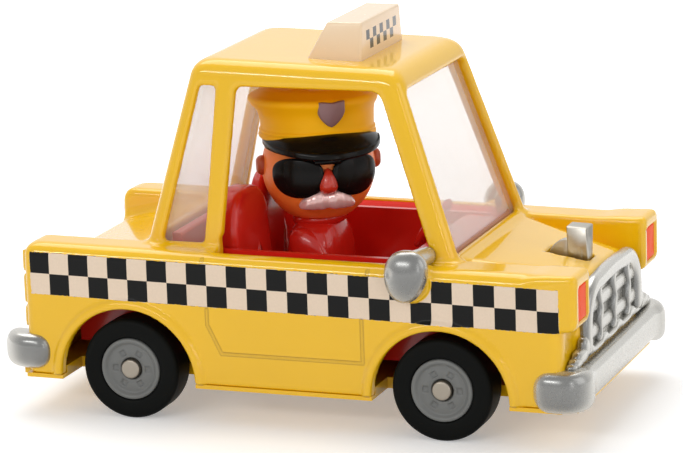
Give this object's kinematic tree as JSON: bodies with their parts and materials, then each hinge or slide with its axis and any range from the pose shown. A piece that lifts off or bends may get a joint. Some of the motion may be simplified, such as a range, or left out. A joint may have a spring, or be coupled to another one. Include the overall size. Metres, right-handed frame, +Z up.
{
  "type": "toy taxi",
  "caption": "Die-cast toy taxi with rolling wheels, checkered side band, roof sign, open side windows and a driver figure whose head turns.",
  "frame": {"origin": "on the ground, under the middle of the car from bumper to bumper", "axes": "+X to the front of the car, +Y to its left side, +Z up"},
  "size_m": [0.0886, 0.0492, 0.0564],
  "materials": {
    "yellow_paint": "gloss",
    "red_plastic": "gloss",
    "clear_plastic": "gloss",
    "cream_plastic": "satin",
    "silver": "satin",
    "orange_lens": "gloss",
    "bare_metal": "satin",
    "steel": "satin",
    "grey_plastic": "satin",
    "tyre_plastic": "matte",
    "skin_plastic": "gloss",
    "cap_plastic": "satin",
    "badge_plastic": "satin",
    "black_plastic": "gloss",
    "moustache_plastic": "satin"
  },
  "bodies": {
    "car": {"body_shell": "yellow_paint", "base_plate": "yellow_paint", "chassis_screws": "steel", "interior_tub": "red_plastic", "seat_right": "red_plastic", "seat_left": "red_plastic", "rear_bench": "red_plastic", "dashboard": "red_plastic", "steering_wheel": "red_plastic", "windscreen": "clear_plastic", "rear_glazing": "clear_plastic", "roof_sign": "cream_plastic", "grille": "silver", "front_bumper": "silver", "rear_bumper": "silver", "headlamp_right": "orange_lens", "headlamp_left": "orange_lens", "tail_lamp_right": "orange_lens", "tail_lamp_left": "orange_lens", "mirror_right": "silver", "mirror_left": "silver", "hood_ornament": "bare_metal", "driver_torso": "red_plastic"},
    "front_wheelset": {"front_axle": "steel", "front_hub_right": "grey_plastic", "front_hub_left": "grey_plastic", "front_tyre_right": "tyre_plastic", "front_tyre_left": "tyre_plastic"},
    "rear_wheelset": {"rear_axle": "steel", "rear_hub_right": "grey_plastic", "rear_hub_left": "grey_plastic", "rear_tyre_right": "tyre_plastic", "rear_tyre_left": "tyre_plastic"},
    "head": {"driver_head": "skin_plastic", "driver_cap": "cap_plastic", "cap_badge": "badge_plastic", "driver_glasses": "black_plastic", "driver_moustache": "moustache_plastic"}
  },
  "joints": [
    {"name": "front_wheels_roll", "type": "hinge", "parent": "car", "child": "front_wheelset", "pos_m": [0.0228, 0, 0.00733], "axis": [0, 1, 0], "continuous": true},
    {"name": "rear_wheels_roll", "type": "hinge", "parent": "car", "child": "rear_wheelset", "pos_m": [-0.0242, 0, 0.00733], "axis": [0, 1, 0], "continuous": true},
    {"name": "head_turn", "type": "hinge", "parent": "car", "child": "head", "pos_m": [-0.0038, 0.0043, 0.0257], "axis": [0, 0, 1], "range_deg": [-40, 115]}
  ]
}
